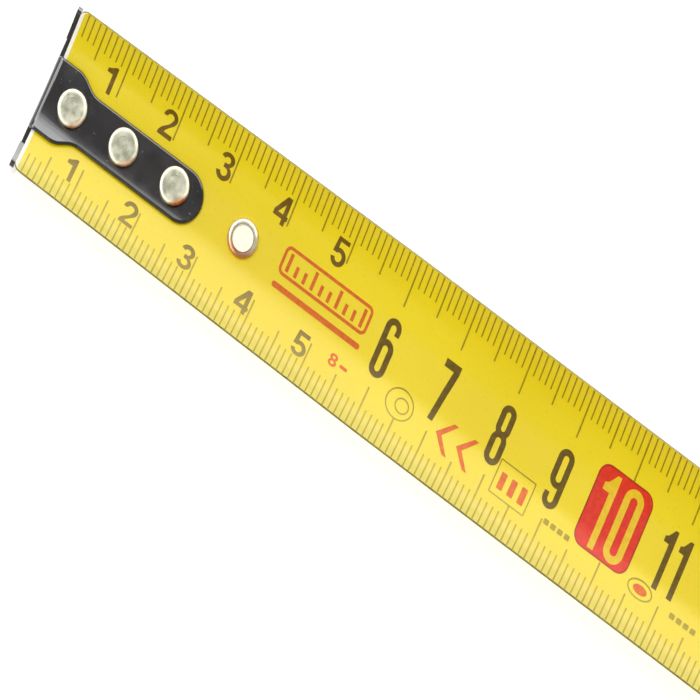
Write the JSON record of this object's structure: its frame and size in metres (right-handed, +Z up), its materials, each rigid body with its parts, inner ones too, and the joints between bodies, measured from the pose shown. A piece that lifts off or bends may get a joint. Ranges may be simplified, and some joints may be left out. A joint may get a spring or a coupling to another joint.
{
  "type": "pocket tape measure",
  "caption": "Pocket tape measure with a curved yellow steel blade drawn out, a riveted sliding end hook, a nail eyelet, a lock and a belt clip.",
  "frame": {"origin": "centre of the case's flat base, on the surface it stands on", "axes": "+X from the end hook towards the case, along the blade; +Z up"},
  "size_m": [0.226, 0.0486, 0.074],
  "materials": {
    "blade_yellow": "glossy yellow enamel on spring steel, dark printed scale",
    "hook_black": "glossy black paint on steel sheet",
    "rivet_steel": "bright plated steel",
    "eyelet_steel": "bright plated steel",
    "wear_steel": "ground steel",
    "spring_steel": "blued spring steel",
    "clip_steel": "black plated spring steel",
    "screw_steel": "black zinc",
    "shell_plastic": "fine textured hard plastic",
    "grip_rubber": "matte soft overmould",
    "bumper_rubber": "matte rubber",
    "button_plastic": "satin moulded plastic",
    "reel_plastic": "moulded nylon",
    "label_foil": "plain brushed foil label, blank"
  },
  "bodies": {
    "case": {"case_body": "shell_plastic", "case_cover": "shell_plastic", "body_grip": "grip_rubber", "cover_grip": "grip_rubber", "mouth_guard": "wear_steel", "mouth_bumper": "bumper_rubber", "case_screws": "screw_steel", "side_label": "label_foil", "arbor": "wear_steel", "arbor_screw": "screw_steel", "belt_clip": "clip_steel", "clip_screw": "screw_steel"},
    "reel": {"reel": "reel_plastic", "reel_cover": "reel_plastic", "blade_coil": "blade_yellow", "power_spring": "spring_steel"},
    "blade": {"blade": "blade_yellow", "hook_rivets": "rivet_steel", "eyelet": "eyelet_steel"},
    "hook": {"end_hook": "hook_black"},
    "lock": {"lock_button": "button_plastic", "lock_retainer": "reel_plastic"},
    "brake": {"brake_shoe": "reel_plastic", "brake_pads": "bumper_rubber"}
  },
  "joints": [
    {"name": "blade_slide", "type": "slide", "parent": "case", "child": "blade", "axis": [1, 0, 0], "range_m": [0, 0.146], "deforming": ["blade"]},
    {"name": "reel_spin", "type": "hinge", "parent": "case", "child": "reel", "pos_m": [0.003, 0, 0.03815], "axis": [0, -1, 0], "range_deg": [0, 296.69], "deforming": ["power_spring"]},
    {"name": "hook_play", "type": "slide", "parent": "blade", "child": "hook", "axis": [-1, 0, 0], "range_m": [0, 0.0007]},
    {"name": "lock_slide", "type": "slide", "parent": "case", "child": "lock", "axis": [0.2833, 0, 0.959], "range_m": [0, 0.0055]},
    {"name": "brake_lift", "type": "slide", "parent": "case", "child": "brake", "axis": [0, 0, 1], "range_m": [0, 0.0022]}
  ],
  "couplings": [
    {"joint": "reel_spin", "follows": "blade_slide", "rad_per_m": 35.461},
    {"joint": "brake_lift", "follows": "lock_slide", "ratio": 0.4}
  ]
}
